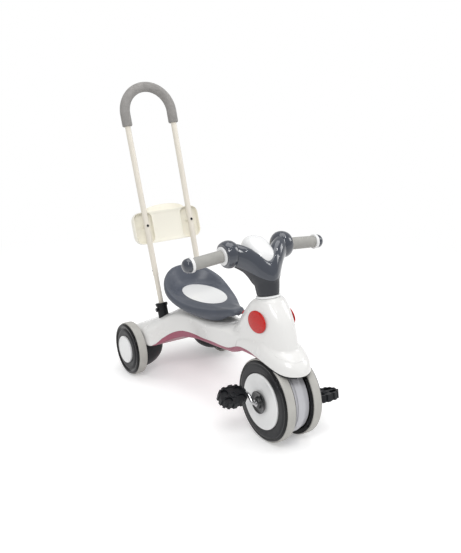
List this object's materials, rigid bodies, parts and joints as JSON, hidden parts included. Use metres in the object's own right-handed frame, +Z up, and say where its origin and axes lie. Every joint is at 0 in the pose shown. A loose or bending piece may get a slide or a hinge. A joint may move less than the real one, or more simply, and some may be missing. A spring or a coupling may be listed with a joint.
{
  "type": "toddler tricycle with push handle",
  "caption": "Toddler tricycle with pedal-driven twin front wheel, dished saddle, Y-shaped handlebar, small rear wheels and a tall parent's push handle with a backrest.",
  "frame": {"origin": "on the floor under the middle of the tricycle's bounding box, with the tyres' lowest points at z = 0", "axes": "+X towards the rider's left, +Y towards the rear wheels and the push handle, +Z up"},
  "size_m": [0.458, 0.9012, 0.9053],
  "materials": {
    "white_gloss": "gloss",
    "mauve_gloss": "gloss",
    "slate_gloss": "high gloss",
    "slate_satin": "satin",
    "saddle_satin": "satin",
    "black_plastic": "satin",
    "wheel_black": "satin to gloss",
    "tread_grey": "matte",
    "drum_grey": "satin",
    "grip_grey": "matte",
    "foam_grey": "foam",
    "pole_cream": "gloss paint",
    "panel_cream": "semi-gloss",
    "reflector_red": "high gloss",
    "steel": "bright"
  },
  "bodies": {
    "frame": {"body_upper_shell": "white_gloss", "body_lower_shell": "mauve_gloss", "front_mudguard": "white_gloss", "mudguard_liner": "black_plastic", "neck_bush_upper": "white_gloss", "neck_bush_lower": "black_plastic", "reflector_left": "reflector_red", "reflector_right": "reflector_red", "head_rear_plug": "reflector_red", "saddle": "saddle_satin", "saddle_inlay": "white_gloss", "saddle_bolt_1": "steel", "saddle_bolt_2": "steel", "handle_socket_left": "black_plastic", "handle_socket_right": "black_plastic", "handle_lower_tube_left": "pole_cream", "handle_lower_tube_right": "pole_cream", "axle_housing_left": "black_plastic", "axle_housing_right": "black_plastic", "stub_axle_left": "steel", "stub_axle_right": "steel", "push_bow": "pole_cream", "push_grip_foam": "foam_grey", "backrest": "panel_cream", "backrest_screw_left": "black_plastic", "backrest_screw_right": "black_plastic"},
    "lock_button_left": {"lock_button_left": "steel"},
    "lock_button_right": {"lock_button_right": "steel"},
    "steering": {"fork_stem": "steel", "fork_shroud_left": "drum_grey", "fork_shroud_right": "drum_grey", "handlebar_lower_housing": "slate_satin", "handlebar_upper_cover": "slate_gloss", "handlebar_dome": "white_gloss", "bar_knob_left": "slate_gloss", "bar_knob_right": "slate_gloss", "grip_core_left": "white_gloss", "grip_core_right": "white_gloss", "hand_grip_left": "grip_grey", "hand_grip_right": "grip_grey", "grip_end_cap_left": "slate_satin", "grip_end_cap_right": "slate_satin"},
    "front_wheel": {"front_wheel_left": "wheel_black", "front_wheel_right": "wheel_black", "front_tyre_left": "tread_grey", "front_tyre_right": "tread_grey", "front_cover_left": "white_gloss", "front_cover_right": "white_gloss", "hub_cone_left": "black_plastic", "hub_cone_right": "black_plastic", "crank_rod": "steel"},
    "pedal_left": {"pedal_left": "black_plastic"},
    "pedal_right": {"pedal_right": "black_plastic"},
    "rear_wheel_left": {"rear_wheel_left": "wheel_black", "rear_tyre_left": "tread_grey", "rear_cap_left": "white_gloss"},
    "rear_wheel_right": {"rear_wheel_right": "wheel_black", "rear_tyre_right": "tread_grey", "rear_cap_right": "white_gloss"}
  },
  "joints": [
    {"name": "steering_turn", "type": "hinge", "parent": "frame", "child": "steering", "pos_m": [0, -0.3326, 0.118], "axis": [0, 0.2164, 0.9763], "range_deg": [-40, 40]},
    {"name": "front_wheel_roll", "type": "hinge", "parent": "steering", "child": "front_wheel", "pos_m": [0, -0.3326, 0.118], "axis": [1, 0, 0], "continuous": true},
    {"name": "pedal_left_turn", "type": "hinge", "parent": "front_wheel", "child": "pedal_left", "pos_m": [0.168, -0.35893, 0.09345], "axis": [1, 0, 0], "continuous": true},
    {"name": "pedal_right_turn", "type": "hinge", "parent": "front_wheel", "child": "pedal_right", "pos_m": [-0.168, -0.30627, 0.14255], "axis": [1, 0, 0], "continuous": true},
    {"name": "rear_wheel_left_roll", "type": "hinge", "parent": "frame", "child": "rear_wheel_left", "pos_m": [0.1515, 0.2504, 0.085], "axis": [1, 0, 0], "continuous": true},
    {"name": "rear_wheel_right_roll", "type": "hinge", "parent": "frame", "child": "rear_wheel_right", "pos_m": [-0.1515, 0.2504, 0.085], "axis": [1, 0, 0], "continuous": true},
    {"name": "lock_button_left_press", "type": "slide", "parent": "frame", "child": "lock_button_left", "axis": [-1, 0.0028, 0.008], "range_m": [0, 0.0022], "stiffness_N_per_m": 800, "springref_m": -0.001},
    {"name": "lock_button_right_press", "type": "slide", "parent": "frame", "child": "lock_button_right", "axis": [1, 0.0028, 0.008], "range_m": [0, 0.0022], "stiffness_N_per_m": 800, "springref_m": -0.001}
  ]
}
